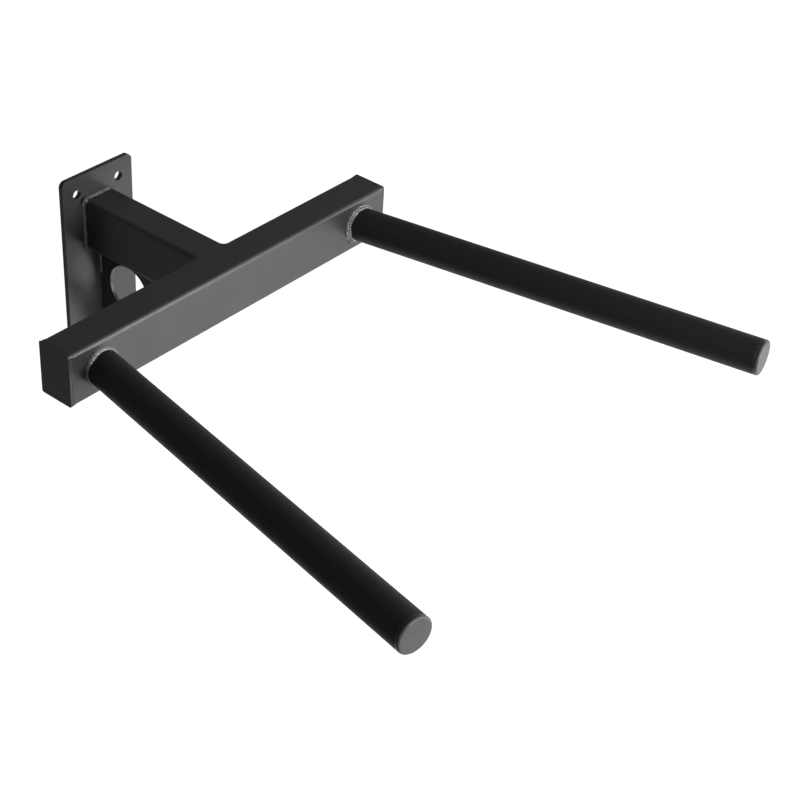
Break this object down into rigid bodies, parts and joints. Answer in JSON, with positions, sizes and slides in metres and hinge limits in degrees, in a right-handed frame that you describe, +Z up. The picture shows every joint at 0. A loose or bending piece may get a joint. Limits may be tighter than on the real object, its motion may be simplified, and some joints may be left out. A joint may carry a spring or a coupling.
{
  "type": "wall-mounted dip station",
  "caption": "Wall-mounted dip station: a bolt-on plate carries a box-tube arm with a holed gusset, a crossbeam and splayed round handles for dips.",
  "frame": {"origin": "centre of the wall plate's back face, which lies on the wall", "axes": "+Z up, +Y into the wall, so the arm and the handles reach out along -Y; X along the crossbeam, with -X to the left of someone who faces the wall"},
  "size_m": [0.592, 0.6842, 0.25],
  "materials": {
    "frame_coat": "satin black powder coat on steel",
    "handle_coat": "matt black fine-textured powder coat on steel tube",
    "end_plug": "moulded dark grey plastic, satin",
    "weld_coat": "rippled weld beads under the satin black powder coat"
  },
  "bodies": {
    "root": {"wall_plate": "frame_coat", "arm_tube": "frame_coat", "gusset_plate": "frame_coat", "crossbeam_tube": "frame_coat", "crossbeam_end_plate_left": "frame_coat", "crossbeam_end_plate_right": "frame_coat", "handle_tube_left": "handle_coat", "handle_tube_right": "handle_coat", "handle_end_plug_left": "end_plug", "handle_end_plug_right": "end_plug", "weld_arm_to_wall_plate": "weld_coat", "weld_arm_to_crossbeam": "weld_coat", "weld_gusset_to_wall_plate": "weld_coat", "weld_gusset_to_arm": "weld_coat", "weld_handle_left": "weld_coat", "weld_handle_right": "weld_coat", "weld_end_plate_left": "weld_coat", "weld_end_plate_right": "weld_coat"}
  },
  "joints": []
}
